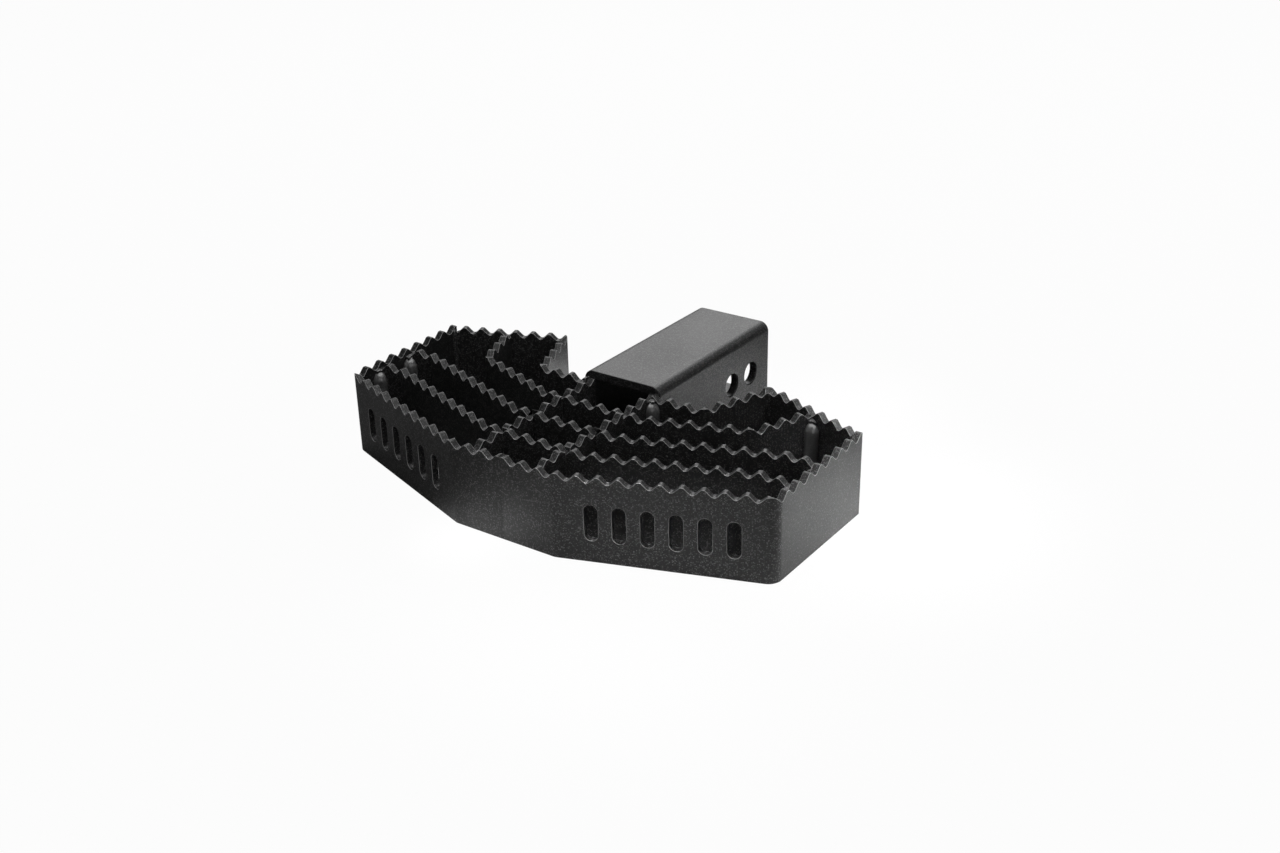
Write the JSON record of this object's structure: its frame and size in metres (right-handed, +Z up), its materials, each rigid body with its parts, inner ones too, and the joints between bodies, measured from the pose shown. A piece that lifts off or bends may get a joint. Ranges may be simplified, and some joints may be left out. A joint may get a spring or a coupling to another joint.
{
  "type": "hitch receiver step",
  "caption": "Welded steel step for a tow hitch receiver: a square shank tube with cross pin holes and a wide open tread of bent, saw-toothed plates.",
  "frame": {"origin": "middle of the footprint's bounding box, on the plane that the step rests on", "axes": "+Z up, +Y along the shank tube towards the vehicle, +X to the right of someone who faces the vehicle"},
  "size_m": [0.3456, 0.274, 0.0635],
  "materials": {
    "coated_plate": "satin textured black powder coat",
    "coated_tube": "fine satin black powder coat",
    "coated_weld": "glossier black powder coat over weld"
  },
  "bodies": {
    "root": {"cross_rib_front": "coated_plate", "cross_rib_middle": "coated_plate", "cross_rib_rear": "coated_plate", "outer_band_left": "coated_plate", "outer_band_right": "coated_plate", "rear_band_left": "coated_plate", "rear_band_right": "coated_plate", "shank_tube": "coated_tube", "spine_left": "coated_plate", "spine_right": "coated_plate", "weld_rear_corner_left": "coated_weld", "weld_rear_corner_right": "coated_weld", "weld_rib_front_left": "coated_weld", "weld_rib_front_right": "coated_weld", "weld_rib_middle_left": "coated_weld", "weld_rib_middle_right": "coated_weld", "weld_rib_rear_left": "coated_weld", "weld_rib_rear_right": "coated_weld", "weld_shank_left": "coated_weld", "weld_shank_right": "coated_weld", "weld_spine_back_left": "coated_weld", "weld_spine_back_right": "coated_weld", "weld_spine_front_left": "coated_weld", "weld_spine_front_right": "coated_weld"}
  },
  "joints": []
}
